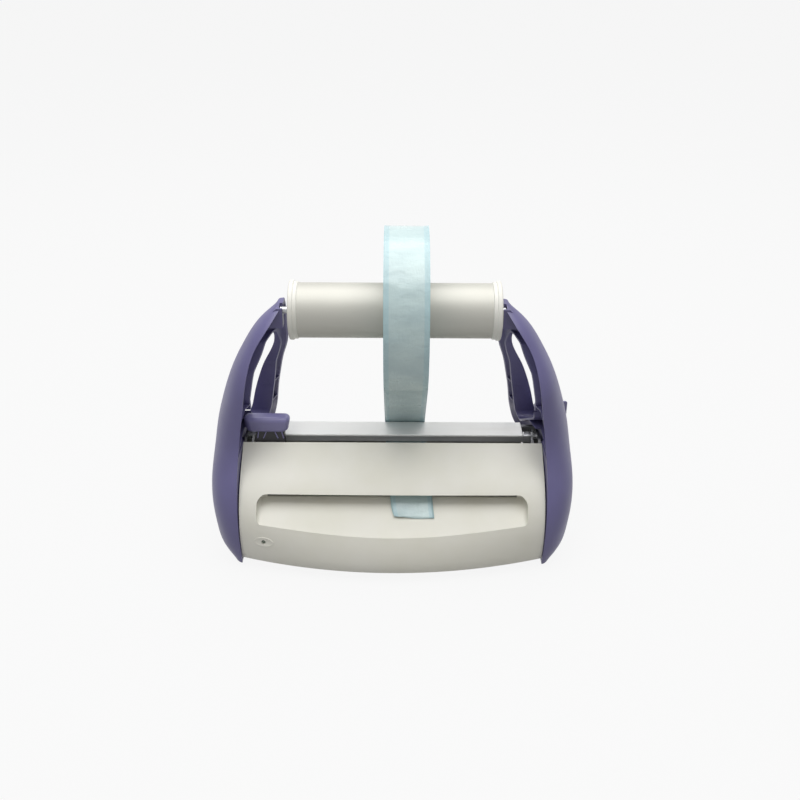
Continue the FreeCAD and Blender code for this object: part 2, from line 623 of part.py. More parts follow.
middle_room = [(-160, -5), (-160, size.deck_height + 2), (20, size.deck_height + 2), (22, size.deck_height - 3),
               (36, size.deck_height - 13.5), (110, 57.5), (size.base_rear + 5.5, 51), (size.base_rear + 5.5, -5)]
room_corners = [Vector(inside_x, y, z) for y, z in middle_room]
room_wide = size.casing_inner - inside_x
room = Part.Face(Part.makePolygon(room_corners + room_corners[:1])).extrude(Vector(room_wide, 0, 0))
knob_room = Part.makeBox(room_wide, size.knob_deep + 7, size.knob_rise + size.knob_high + 2,
                         Vector(inside_x, size.cover_top_y - 7.5, size.deck_height + 1))
casing_shape = casing_solid.cut(casing_hollow)
casing_shape = casing_shape.fuse([window_wall, cradle, inner_lip] + ribs + pillars)
casing_shape = casing_shape.cut([window, slot_seat, slot_way, room, knob_room] + screw_ways)
left_source = solid("ArmShell", casing_shape)
node("left_casing", mirrored("LeftCasing", left_source))
node("right_casing", solid("RightCasing", casing_shape.cut(rocker_hole)))

# Rear cover and the parts under it

lid = size.cover_wall
rear_top = size.deck_height - 15
rear_points = [(30, rear_top), (34, rear_top), (108, 56), (size.base_rear + 4, 50), (size.base_rear + 4, side_low)]
rear_inner = [(size.base_rear + 4 - lid, side_low), (size.base_rear + 4 - lid, 48), (106, 52.5), (31, rear_top - 3.5)]
rear_corners = [Vector(-size.casing_inner + 4, y, z) for y, z in rear_points + rear_inner]
rear_shell = Part.Face(Part.makePolygon(rear_corners + rear_corners[:1])).extrude(Vector(2 * size.casing_inner - 8, 0, 0))
inlet_x, inlet_z = 118.0, 28.0
inlet_hole = Part.makeBox(28.4, 20, 20.4, Vector(inlet_x - 14.2, size.base_rear - 6, inlet_z - 10.2))
fuse_x = inlet_x - 45
fuse_hole = Part.makeCylinder(6.2, 20, Vector(fuse_x, size.base_rear - 6, inlet_z), Vector(0, 1, 0))
node("rear_cover", solid("RearCover", rear_shell.cut([inlet_hole, fuse_hole])))

inlet_face = "base_rear + 4"
body = box("InletBody", centred(str(inlet_x), 28), ("base_rear - 20", f"{inlet_face} + 0.3"), centred(str(inlet_z), 20))
flange = box("InletFlange", centred(str(inlet_x), 48), (f"{inlet_face} + 0.1", f"{inlet_face} + 3"),
             centred(str(inlet_z), 26))
well = box("InletWell", centred(str(inlet_x), 24), (f"{inlet_face} - 14", f"{inlet_face} + 5"),
           centred(str(inlet_z), 16))
inlet = less("InletShell", joined("InletBlock", body, flange), well)
prongs = [box(f"Prong{n}", centred(str(inlet_x + dx), 2), (f"{inlet_face} - 15", f"{inlet_face} - 2"),
              centred(str(inlet_z + dz), 4)) for n, (dx, dz) in enumerate(((-7, -2), (0, 2), (7, -2)))]
node("mains_inlet", joined("MainsInlet", inlet, *prongs))
fuse_body = spindle("FuseBody", "6", str(fuse_x), ("base_rear - 26", f"{inlet_face} + 0.2"), str(inlet_z))
fuse_cap = spindle("FuseCap", "8", str(fuse_x), (f"{inlet_face} + 0.1", f"{inlet_face} + 6"), str(inlet_z))
node("fuse_holder", joined("FuseHolder", fuse_body, fuse_cap))

board_low = f"{base_top} + 8"
node("circuit_board", box("CircuitBoard", (-120, -20), (0, 70), (board_low, f"{board_low} + board_thick")))
standoffs = [post(f"Standoff{n}", "3", x, y, (base_top, board_low))
             for n, (x, y) in enumerate(((-115, 5), (-25, 5), (-115, 65), (-25, 65)))]
node("board_standoffs", grouped("BoardStandoffs", *standoffs))
board_high = f"{board_low} + board_thick"
node("buzzer", post("Buzzer", "6", -100, 55, (board_high, f"{board_high} + 9")))
node("relay", box("Relay", (-80, -61), (45, 60), (board_high, f"{board_high} + 15")))
core = box("TransformerCore", (45, 95), (10, 60), (base_top, f"{base_top} + 42"))
node("transformer", core)

# Switch pod on the right casing, with its rocker

pod_inner = size.pod_outer - size.pod_deep
pod_top = size.deck_height + 14
pod_low = size.deck_height - 75
pod_plan = [Vector(x, y, pod_low) for x, y in ((pod_inner, 21.5), (size.pod_outer, 46), (size.pod_outer, 80),
                                               (pod_inner, 80))]
pod_side = [Vector(pod_inner, y, z) for y, z in ((20, pod_low), (20, pod_top), (46, pod_top), (81, pod_top - 25),
                                                 (81, pod_low))]
pod_block = Part.Face(Part.makePolygon(pod_plan + pod_plan[:1])).extrude(Vector(0, 0, 100)).common(
    Part.Face(Part.makePolygon(pod_side + pod_side[:1])).extrude(X_AXIS * size.pod_deep))
pod_edges = [edge for edge in pod_block.Edges if edge.CenterOfMass.x > size.pod_outer - 1]
pod = pod_block.makeFillet(2.5, pod_edges).cut(casing_solid)
pod_outside = max(pod.Solids, key=lambda piece: piece.CenterOfMass.x)
node("switch_pod", solid("SwitchPod", pod_outside.cut(rocker_hole)))
switch_body = Part.makeBox(16, rocker_wide - 0.2, rocker_high - 0.2,
                           Vector(size.pod_outer - 22, pod_y - rocker_wide / 2 + 0.1, pod_z - rocker_high / 2 + 0.1))
node("rocker_switch_body", solid("RockerSwitchBody", switch_body))
rocker_x = size.pod_outer - 1.5
proud_x = rocker_x + size.rocker_rise
wedge_points = [(rocker_x - 3.5, -6), (rocker_x - 3.5, 6), (proud_x, 8.6), (rocker_x, 0), (proud_x, -8.6)]
wedge = [Vector(x, pod_y - 6.0, pod_z + z) for x, z in wedge_points]
rocker_shape = Part.Face(Part.makePolygon(wedge + wedge[:1])).extrude(Vector(0, 12, 0))
node("power_rocker", solid("PowerRocker", rocker_shape))

# Microswitch under the left press arm, and the status light in the cover

switch_x = ("-(arm_inner + arm_thick) - 1.5", "-arm_inner + 2")
switch_low = "pivot_z - 31"
switch_high = "pivot_z - 22.2"
switch = box("SwitchBody", switch_x, (-33, -17), (switch_low, switch_high))
button = box("SwitchButton", ("-arm_inner - 2.5", "-arm_inner - 0.5"), (-31, -29), (switch_high, "pivot_z - 20.8"))
ear = box("SwitchEar", ("-(casing_inner - fit_gap - plate_thick)", switch_x[0]), (-33, -17),
          (switch_low, "pivot_z - 27"))
node("microswitch", joined("Microswitch", switch, button, ear))
lens = Part.makeCylinder(size.led_radius, 9, Vector(size.led_x, led_y - 0.5, size.led_z), Vector(0, 1, 0))
rim = Part.makeCylinder(size.led_radius + 1.2, 1.2, Vector(size.led_x, led_y + 7.3, size.led_z), Vector(0, 1, 0))
node("status_light", solid("StatusLight", lens.fuse(rim)))

# Roller: axle, tube and caps; then the reel on its core

node("roller_axle", rod("RollerAxle", "axle_radius", ("-axle_half", "axle_half"), "axle_y", "axle_z"))


def ring(name, outer, inner, x):
    return less(name, rod(name + "Outer", outer, x, "axle_y", "axle_z"),
                rod(name + "Bore", inner, (f"({x[0]}) - 1", f"({x[1]}) + 1"), "axle_y", "axle_z"))


tube_span = ("roller_x - tube_half", "roller_x + tube_half")
node("roller_tube", ring("RollerTube", "tube_radius", "tube_radius - tube_wall", tube_span))


def roller_cap(name, side):
    """A flanged end cap: side is 1 at the right end and -1 at the left."""
    def span(low, high):
        ends = [f"roller_x + {side} * (tube_half + {step})" for step in (low, high)]
        return ends[::side]
    disc = rod(name + "Disc", "cap_radius", span("0", "cap_thick"), "axle_y", "axle_z")
    spigot = rod(name + "Spigot", "tube_radius - tube_wall - 0.05", span("(-12)", "0"), "axle_y", "axle_z")
    bore = rod(name + "Bore", "axle_radius + shaft_gap", span("(-20)", "20"), "axle_y", "axle_z")
    return less(name, joined(name + "Blank", disc, spigot), bore)


node("right_roller_cap", roller_cap("RightRollerCap", 1))
node("left_roller_cap", roller_cap("LeftRollerCap", -1))
reel_span = ("reel_x - reel_width / 2", "reel_x + reel_width / 2")
node("reel_core", ring("ReelCore", "tube_radius + core_gap + core_wall", "tube_radius + core_gap", reel_span))
node("pouch_reel", ring("PouchReel", "reel_radius", "tube_radius + core_gap + core_wall + 0.05", reel_span))

# Film from the front of the reel, round the rear edge of the deck, through the jaws and onto the ramp

web_radius = size.reel_radius + size.web_gap + size.web_thick / 2
deck_back = size.deck_front + size.deck_depth
edge_point = Vector(0, deck_back + 1.0, size.deck_height + 1.0)
guide = Vector(0, deck_back + 3.0, size.deck_height - 6.5)
axle = Vector(0, size.axle_y, size.axle_z)
down = edge_point - axle
lean = math.atan2(down.z, down.y) - math.acos(web_radius / down.Length)
leave = axle + Vector(0, math.cos(lean), math.sin(lean)) * web_radius
along = Vector(0, math.cos(math.radians(size.jaw_slope)), math.sin(math.radians(size.jaw_slope)))
seal = Vector(0, size.jaw_y, size.jaw_z)
slot_point = seal + along * 30.0
ramp_point = seal - along * 31.0
ramp_fall = Vector(0, -math.cos(math.radians(size.ramp_slope)), -math.sin(math.radians(size.ramp_slope)))
tail = ramp_point + ramp_fall * 26.0
path = [leave, edge_point, guide, slot_point, ramp_point, tail]
sides = []
for n, point in enumerate(path):
    before = (point - path[n - 1]).normalize() if n else (path[1] - point).normalize()
    after = (path[n + 1] - point).normalize() if n < len(path) - 1 else before
    normal = (before + after).normalize().cross(X_AXIS)
    sides.append(normal * (size.web_thick / 2 / normal.dot(before.cross(X_AXIS))))
ribbon = [p + s for p, s in zip(path, sides)] + [p - s for p, s in zip(path[::-1], sides[::-1])]
ribbon = [point + X_AXIS * (size.reel_x - size.reel_width / 2) for point in ribbon]
web_shape = Part.Face(Part.makePolygon(ribbon + ribbon[:1])).extrude(Vector(size.reel_width, 0, 0))
node("pouch_web", solid("PouchWeb", web_shape))

# Screws that hold the casings to the side plates, and the jaw screws

screws = []
for side in (1, -1):
    for y, z in SCREW_PLACES:
        head_x = side * (plate_right - size.plate_thick)
        head = Part.makeCylinder(3.5, 2.4, Vector(head_x, y, z), X_AXIS * -side)
        shank = Part.makeCylinder(1.5, 14, Vector(head_x, y, z), X_AXIS * side)
        screws.append(head.fuse(shank))
node("casing_screws", solid("CasingScrews", Part.makeCompound(screws)))

doc.recompute()
faults = [item.Name for item in doc.Objects if "Invalid" in item.State or "Error" in item.State]
for name, item in nodes.items():
    if item.Shape.isNull() or not item.Shape.isValid() or not item.Shape.Solids:
        faults.append(name)
if faults:
    raise SystemExit(f"faults: {sorted(set(faults))}")

os.makedirs("parts", exist_ok=True)
for name, item in nodes.items():
    item.Shape.exportStep(f"parts/{name}.step")
print(len(nodes), "nodes")
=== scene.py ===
import json
import math

import bmesh
import bpy
from mathutils import Matrix, Vector, noise
from mathutils.bvhtree import BVHTree


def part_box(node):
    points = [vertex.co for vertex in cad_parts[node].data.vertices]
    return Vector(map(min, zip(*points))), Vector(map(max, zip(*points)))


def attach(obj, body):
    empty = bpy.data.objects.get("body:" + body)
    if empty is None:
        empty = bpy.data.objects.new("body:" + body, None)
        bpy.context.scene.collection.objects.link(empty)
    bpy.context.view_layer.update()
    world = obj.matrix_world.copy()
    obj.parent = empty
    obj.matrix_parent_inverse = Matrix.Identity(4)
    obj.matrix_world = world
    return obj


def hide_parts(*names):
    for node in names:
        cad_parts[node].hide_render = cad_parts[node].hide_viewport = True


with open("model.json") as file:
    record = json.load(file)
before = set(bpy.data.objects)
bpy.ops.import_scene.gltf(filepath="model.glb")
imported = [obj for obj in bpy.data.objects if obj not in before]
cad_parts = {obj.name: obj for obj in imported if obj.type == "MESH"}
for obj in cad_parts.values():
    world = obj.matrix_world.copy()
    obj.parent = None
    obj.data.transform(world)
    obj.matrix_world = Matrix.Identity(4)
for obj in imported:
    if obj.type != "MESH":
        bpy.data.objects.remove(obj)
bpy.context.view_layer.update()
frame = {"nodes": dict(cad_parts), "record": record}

MM = 0.001


# Finishes: shader arithmetic is written as Python expressions on sockets


class Value:
    """A number on a shader socket; arithmetic on it adds Math nodes."""

    def __init__(self, nodes, socket):
        self.nodes = nodes
        self.socket = socket

    def math(self, operation, *numbers):
        return self.nodes.add("ShaderNodeMath", {"operation": operation}, *numbers)

    def __add__(self, other):
        return self.math("ADD", self, other)

    def __radd__(self, other):
        return self.math("ADD", other, self)

    def __sub__(self, other):
        return self.math("SUBTRACT", self, other)

    def __rsub__(self, other):
        return self.math("SUBTRACT", other, self)

    def __mul__(self, other):
        return self.math("MULTIPLY", self, other)

    def __rmul__(self, other):
        return self.math("MULTIPLY", other, self)

    def __pow__(self, other):
        return self.math("POWER", self, other)

    def __rpow__(self, other):
        return self.math("POWER", other, self)

    def __abs__(self):
        return self.math("ABSOLUTE", self)

    def sine(self):
        return self.math("SINE", self)

    def larger(self, other):
        return self.math("MAXIMUM", self, other)

    def between(self, low, high):
        """0 below low, 1 above high and even in between; low may be the larger."""
        return self.nodes.add("ShaderNodeMapRange", {}, self, low, high, 0.0, 1.0)


class Nodes:
    """The nodes of one material, or of the world."""

    def __init__(self, tree):
        self.tree = tree

    def add(self, kind, settings=None, *values, out=None, **named):
        """A new node: its settings first, then values or links for its sockets in order or by name."""
        node = self.tree.nodes.new(kind)
        for setting, value in (settings or {}).items():
            setattr(node, setting, value)
        sockets = [socket for socket in node.inputs if socket.enabled]
        for socket, value in zip(sockets, values):
            self.feed(socket, value)
        for name, value in named.items():
            self.feed(next(socket for socket in sockets if socket.name == name.replace("_", " ")), value)
        if out:
            return Value(self, node.outputs[out])
        return Value(self, next(socket for socket in node.outputs if socket.enabled))

    def feed(self, socket, value):
        if isinstance(value, Value):
            self.tree.links.new(value.socket, socket)
        else:
            socket.default_value = value

    def looked_at(self):
        """1 where the camera, a mirror or clear film looks at it, 0 where it lights the object."""
        camera, mirror, clear = [self.add("ShaderNodeLightPath", out=ray)
                                 for ray in ("Is Camera Ray", "Is Glossy Ray", "Is Transmission Ray")]
        return camera.larger(mirror).larger(clear)


class Finish(Nodes):
    """A material: its shader and the nodes that feed it."""

    def __init__(self, name, **constants):
        self.material = bpy.data.materials.new(name)
        self.material.use_nodes = True
        super().__init__(self.material.node_tree)
        self.shader = self.tree.nodes["Principled BSDF"]
        self.where = self.add("ShaderNodeTexCoord", out="Object")
        for socket, value in constants.items():
            self.shader.inputs[socket.replace("_", " ")].default_value = value

    def wear(self, **inputs):
        """Feeds what changes over the surface to the shader."""
        for name, value in inputs.items():
            self.feed(self.shader.inputs[name.replace("_", " ")], value)
        return self

    def blend(self, amount, first, second):
        """The first colour where the amount is 0, the second where it is 1."""
        return self.add("ShaderNodeMix", {"data_type": "RGBA"}, amount, first, second)

    def cloud(self, scale, detail=3.0, stretch=(1, 1, 1), rough=0.5):
        """Soft noise, with scale in bumps per metre."""
        at = self.add("ShaderNodeMapping", {}, self.where, (0, 0, 0), (0, 0, 0), stretch)
        return self.add("ShaderNodeTexNoise", {}, out="Fac", Vector=at, Scale=scale, Detail=detail,
                        Roughness=rough)

    def along(self, axes, centre=(0, 0, 0)):
        """The place on each of the named axes, in metres from a centre."""
        at = self.add("ShaderNodeMapping", {}, self.where, tuple(-number for number in centre))
        return [self.add("ShaderNodeSeparateXYZ", {}, at, out=axis) for axis in axes]

    def rings(self, place, detail):
        """Noise that changes along one number only, such as a radius."""
        return self.add("ShaderNodeTexNoise", {"noise_dimensions": "1D"}, out="Fac", W=place, Scale=1.0,
                        Detail=detail)

    def relief(self, height, depth):
        """A bump from a height between 0 and 1, with its depth in metres."""
        return self.add("ShaderNodeBump", {}, Strength=1.0, Distance=depth, Height=height)


def linear(level):
    """A screen's level between 0 and 1, as the shader's linear one."""
    return level / 12.92 if level < 0.04045 else ((level + 0.055) / 1.055) ** 2.4


def paint(text):
    """A colour written as in a picture, as the shader's linear one."""
    levels = [int(text[n:n + 2], 16) / 255 for n in (0, 2, 4)]
    return tuple(linear(level) for level in levels) + (1.0,)


def moulded(name, colour, shade, roughness, grain=0.00003):
    """Injection-moulded plastic: slight mottling, a fine spark texture and uneven gloss."""
    finish = Finish(name)
    mottle = finish.cloud(18, 3)
    spark = finish.cloud(2600, 2)
    gloss = finish.cloud(45, 4)
    return finish.wear(Base_Color=finish.blend(mottle.between(0.35, 0.7), paint(colour), paint(shade)),
                       Roughness=roughness + (gloss - 0.5) * 0.14, Normal=finish.relief(spark, grain))


def brushed(name, colour, shade, roughness, grain=(1, 60, 60), depth=0.000015, metallic=1.0):
    """Metal with fine lines along one axis."""
    finish = Finish(name, Metallic=metallic)
    lines = finish.cloud(260, 4, grain)
    smudge = finish.cloud(22, 3)
    return finish.wear(Base_Color=finish.blend(lines, paint(colour), paint(shade)),
                       Roughness=roughness + lines * 0.1 + smudge * 0.08,
                       Normal=finish.relief(lines, depth))


casing_plastic = moulded("casing_plastic", "625e88", "5b577e", 0.38, 0.00004)
cover_plastic = moulded("cover_plastic", "e0ded4", "dbd9cc", 0.42)
knob_plastic = moulded("knob_plastic", "7d79a4", "76729c", 0.3)
black_plastic = moulded("black_plastic", "232226", "1b1a1e", 0.42)
cap_plastic = moulded("cap_plastic", "dedcd5", "d7d5cc", 0.45)
insulator = moulded("insulating_block", "8a5a3a", "7a4c30", 0.6)
silicone = moulded("silicone_pad", "e8e2d4", "ddd6c6", 0.55)
foot_rubber = moulded("foot_rubber", "2b2b2d", "242426", 0.8, 0.00008)
steel = brushed("sheet_steel", "b4b5b6", "9c9d9f", 0.3)
blade_steel = brushed("blade_steel", "c8c9cb", "aaabae", 0.16)
spring_steel = brushed("spring_steel", "8d8e90", "6f7072", 0.3, (20, 20, 20))
bar_aluminium = brushed("bar_aluminium", "c6c7c8", "b0b1b3", 0.36)
heating_alloy = brushed("heating_alloy", "a39a90", "857c72", 0.32)
tube_aluminium = brushed("roller_tube_aluminium", "bebdb6", "b4b2a9", 0.42, (40, 1, 1), 0.00001, metallic=0.3)


def deck_paint():
    """Powder coat: a soft orange peel, a little rubbed in streaks along its length."""
    finish = Finish("deck_powder_coat")
    peel = finish.cloud(420, 2)
    rubbed = finish.cloud(30, 4, (0.3, 3, 3))
    return finish.wear(Base_Color=finish.blend(rubbed.between(0.5, 0.75), paint("f7f7f5"), paint("f1f0ed")),
                       Roughness=0.34 + (rubbed - 0.5) * 0.16, Normal=finish.relief(peel, 0.00005))


def woven_tape():
    """Glass cloth with a non-stick coat: a fine plain weave."""
    finish = Finish("non_stick_tape")
    x, y = finish.along("XY")
    weave = ((x * 4200).sine() * (y * 5000).sine()).between(-1, 1)
    return finish.wear(Base_Color=finish.blend(weave, paint("8c6a44"), paint("b08d62")),
                       Roughness=0.38 + finish.cloud(90) * 0.12, Normal=finish.relief(weave, 0.00004))


def circuit_board():
    """Green solder mask with copper tracks under it and bare pads."""
    finish = Finish("circuit_board")
    low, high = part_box("circuit_board")
    [x] = finish.along("X", tuple((low + high) / 2))
    gaps = finish.cloud(60, 1).between(0.48, 0.52)
    tracks = abs((x * 640).sine()).between(0.86, 0.94) * gaps
    dots = finish.add("ShaderNodeTexVoronoi", {}, Vector=finish.where, Scale=260.0, out="Distance")
    pads = dots.between(0.16, 0.13) * gaps
    mask = finish.blend(tracks, paint("1d5a36"), paint("2f7a4b"))
    return finish.wear(Base_Color=finish.blend(pads, mask, paint("c9c6bb")), Roughness=0.3 + gaps * 0.12,
                       Metallic=pads, Normal=finish.relief(tracks, 0.00005))


def laminated_iron():
    """A transformer's stack of varnished sheets, edge on."""
    finish = Finish("transformer_laminations", Metallic=0.6)
    [z] = finish.along("Z")
    sheets = abs((z * 3600).sine())
    rust = finish.cloud(70, 5).between(0.55, 0.8)
    varnished = finish.blend(sheets, paint("3a3b3e"), paint("66676a"))
    return finish.wear(Base_Color=finish.blend(rust, varnished, paint("6b4a36")),
                       Roughness=0.5 + rust * 0.2, Normal=finish.relief(sheets, 0.0001))


def cardboard():
    """The reel's core: grey-brown board wound in a slant."""
    finish = Finish("core_board")
    x, z = finish.along("XZ")
    fibre = finish.cloud(700, 4, (1, 4, 4))
    seam = abs((x * 180 + z * 75).sine()).between(0.03, 0.0)
    return finish.wear(Base_Color=finish.blend(fibre, paint("b59f7f"), paint("a08a6b")),
                       Roughness=0.8 + fibre * 0.1, Normal=finish.relief(fibre - seam * 0.6, 0.0001))


def status_lens():
    """A smoked green lens."""
    finish = Finish("status_lens", Coat_Roughness=0.05)
    depth = finish.cloud(900, 1)
    return finish.wear(Base_Color=finish.blend(depth, paint("2e3a2a"), paint("3f5236")),
                       Roughness=0.12 + depth * 0.1, Coat_Weight=0.8 + depth * 0.2)


def mains_inlet():
    """Black plastic with the three nickelled prongs in its well."""
    finish = Finish("mains_inlet")
    low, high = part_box("mains_inlet")
    well_floor = ((low.x + high.x) / 2, high.y - 7 * MM, (low.z + high.z) / 2)
    x, y, z = finish.along("XYZ", well_floor)
    pair_across, pair_up = abs(abs(x) - 7 * MM), abs(z + 2 * MM)
    middle_across, middle_up = abs(x), abs(z - 2 * MM)
    pair = pair_across.between(1.3 * MM, 1.2 * MM) * pair_up.between(2.3 * MM, 2.2 * MM)
    middle = middle_across.between(1.3 * MM, 1.2 * MM) * middle_up.between(2.3 * MM, 2.2 * MM)
    prongs = (pair + middle) * y.between(3.6 * MM, 3.4 * MM)
    grain = finish.cloud(1800, 2)
    return finish.wear(Base_Color=finish.blend(prongs, paint("222125"), paint("c4c2bb")), Metallic=prongs,
                       Roughness=0.45 - prongs * 0.2 + grain * 0.06, Normal=finish.relief(grain, 0.00003))


# The reel, and where the film leaves it


REEL_LOW, REEL_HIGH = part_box("pouch_reel")
REEL_CENTRE = (REEL_LOW + REEL_HIGH) / 2
AXLE = Vector((0, REEL_CENTRE.y, REEL_CENTRE.z))
REEL_RADIUS = (REEL_HIGH.z - REEL_LOW.z) / 2
REEL_WIDTH = REEL_HIGH.x - REEL_LOW.x
WEB_REACH = REEL_RADIUS + 0.12 * MM
DECK_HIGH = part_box("deck_plate")[1]
DECK_REAR = Vector((0, DECK_HIGH.y + 1 * MM, DECK_HIGH.z + 1 * MM))


def leaving_arm():
    """The direction from the axle to where the film leaves the reel for the deck's rear edge."""
    down = DECK_REAR - AXLE
    lean = math.atan2(down.z, down.y) - math.acos(WEB_REACH / down.length)
    return Vector((0, math.cos(lean), math.sin(lean)))


LEAVE_ARM = leaving_arm()
UP_THE_REEL = Vector((0, LEAVE_ARM.z, -LEAVE_ARM.y))
WRAP = 20 * MM


def film(name):
    """Pouch film: a pale aqua laminate whose two long edges are sealed in darker bands of fine lines."""
    finish = Finish(name, Coat_Roughness=0.06)
    across = finish.add("ShaderNodeAttribute", {"attribute_name": "across"}, out="Fac")
    from_edge = 0.5 - abs(across - 0.5)
    band = from_edge.between(0.125, 0.11)
    lines = (from_edge * 330).sine().between(-0.3, 0.6)
    rim = from_edge.between(0.02, 0.012)
    cloudy = finish.cloud(26, 4, (1, 2.2, 2.2))
    folds = finish.cloud(38, 3, (0.8, 1.8, 1.8), 0.55)
    creases = finish.cloud(120, 2, (2.4, 0.7, 0.7))
    body = finish.blend(cloudy.between(0.3, 0.75), paint("bccfce"), paint("abbfc1"))
    sealed = finish.blend(lines * 0.6, paint("aec8cc"), paint("93b5bc"))
    edged = finish.blend(band * 0.85, body, sealed)
    height = folds * 0.75 + creases * 0.25 + band * lines * 0.05
    return finish.wear(Base_Color=finish.blend(rim * 0.4, edged, paint("93bfc7")),
                       Roughness=0.22 + cloudy * 0.14 + band * 0.06, Coat_Weight=0.15 + folds * 0.3,
                       Normal=finish.relief(height, 1.7 * MM))


def wound_edges():
    """The side of the reel: hundreds of film edges, paper and film in turn."""
    finish = Finish("wound_edges")
    y, z = finish.along("YZ", tuple(REEL_CENTRE))
    radius = (y * y + z * z) ** 0.5
    wander = finish.cloud(14, 2) * 0.0006
    turns = finish.rings((radius + wander) * 900.0, 4.0)
    loose = finish.rings(radius * 110.0, 1.0)
    tint = finish.blend(turns.between(0.35, 0.65), paint("e6f1ef"), paint("a9cdd1"))
    return finish.wear(Base_Color=finish.blend(loose.between(0.5, 0.72) * 0.5, tint, paint("86b3bb")),
                       Roughness=0.42 + turns * 0.2, Normal=finish.relief(turns * 0.7 + loose * 0.3, 0.0003))


FINISHES = {
    "casing_plastic": casing_plastic,
    "cover_plastic": cover_plastic,
    "knob_plastic": knob_plastic,
    "black_plastic": black_plastic,
    "cap_plastic": cap_plastic,
    "insulator": insulator,
    "silicone": silicone,
    "foot_rubber": foot_rubber,
    "steel": steel,
    "blade_steel": blade_steel,
    "spring_steel": spring_steel,
    "bar_aluminium": bar_aluminium,
    "element": heating_alloy,
    "tube_aluminium": tube_aluminium,
    "deck_paint": deck_paint(),
    "tape": woven_tape(),
    "board": circuit_board(),
    "transformer_iron": laminated_iron(),
    "core_board": cardboard(),
    "light": status_lens(),
    "film": film("reel_film"),
}
# The cutter's carriage takes black plastic instead of its slot's finish: painted shade standing in for the
# shadow in the cutter's slot.
NODE_FINISHES_AND_PAINTED_SHADE = {"mains_inlet": mains_inlet(), "cutter_carriage": black_plastic}


def dress_nodes():
    """Gives every CAD node its finish, by the record's slot for it, unless the table above lists one for it:
    the inlet's own finish, and black plastic on the carriage as painted shade.
    """
    slots = {row["node"]: row["material_slot"] for row in frame["record"]["subparts"]}
    for name, part in frame["nodes"].items():
        finish = NODE_FINISHES_AND_PAINTED_SHADE.get(name) or FINISHES[slots[name]]
        for place in part.material_slots:
            place.material = finish.material
        if not part.material_slots:
            part.data.materials.append(finish.material)


# Making pieces


def as_piece(name, bm, body, *finishes, slot, stands_for=(), crease=35):
    """A finished piece from a mesh: welded, faces outwards, smooth up to a crease, riding on a body."""
    bmesh.ops.remove_doubles(bm, verts=bm.verts, dist=0.002 * MM)
    bmesh.ops.recalc_face_normals(bm, faces=bm.faces)
    mesh = bpy.data.meshes.new(name)
    bm.to_mesh(mesh)
    bm.free()
    for finish in finishes:
        mesh.materials.append(finish.material)
    mesh.shade_smooth()
    mesh.set_sharp_from_angle(angle=math.radians(crease))
    piece = bpy.data.objects.new(name, mesh)
    bpy.context.scene.collection.objects.link(piece)
    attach(piece, body)
    if stands_for:
        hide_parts(*stands_for)
    return piece


def thicken(piece, thickness, offset):
    """Gives a sheet its wall: offset 0 on both sides of it, -1 behind it."""
    wall = piece.modifiers.new("wall", "SOLIDIFY")
    wall.thickness = thickness
    wall.offset = offset


def share(place, start, end):
    """0 up to start, 1 past end and even in between; start may be the larger."""
    return min(1.0, max(0.0, (place - start) / (end - start)))


def reach(edge):
    """How far an edge reaches along X."""
    return abs(edge.verts[0].co.x - edge.verts[1].co.x)


def from_axle(vert):
    """The arm from the axle's line out to a point, square to it."""
    return Vector((0, vert.co.y - AXLE.y, vert.co.z - AXLE.z))


def turned(bm, outline, steps):
    """Spins a closed outline of (x, radius) pairs round the axle's line."""
    corners = [bm.verts.new((x, AXLE.y, AXLE.z + radius)) for x, radius in outline]
    edges = [bm.edges.new(pair) for pair in zip(corners, corners[1:] + corners[:1])]
    bmesh.ops.spin(bm, geom=corners + edges, cent=AXLE, axis=(1, 0, 0), angle=2 * math.pi, steps=steps,
                   use_merge=True)


def block(bm, low, high):
    """A box between two corners; returns its vertices."""
    low, high = Vector(low), Vector(high)
    size = high - low
    place = Matrix.Translation((low + high) / 2) @ Matrix.Diagonal((*size, 1.0))
    return bmesh.ops.create_cube(bm, size=1.0, matrix=place)["verts"]


def soften(bm, edges, width, segments):
    """Rounds edges over a width."""
    bmesh.ops.bevel(bm, geom=list(edges), offset=width, segments=segments, profile=0.5, affect="EDGES",
                    material=-1, clamp_overlap=True)


def crumpled(place):
    """How far in from its full radius the reel's outer layer lies: broad dips and finer ripples."""
    broad = noise.noise(Vector((place.x * 40, place.y * 55, place.z * 55)))
    fine = noise.noise(Vector((place.x * 160, place.y * 45, place.z * 45)) + Vector((9, 3, 5)))
    return 0.45 * MM * (1 + broad) + 0.2 * MM * (1 + fine)


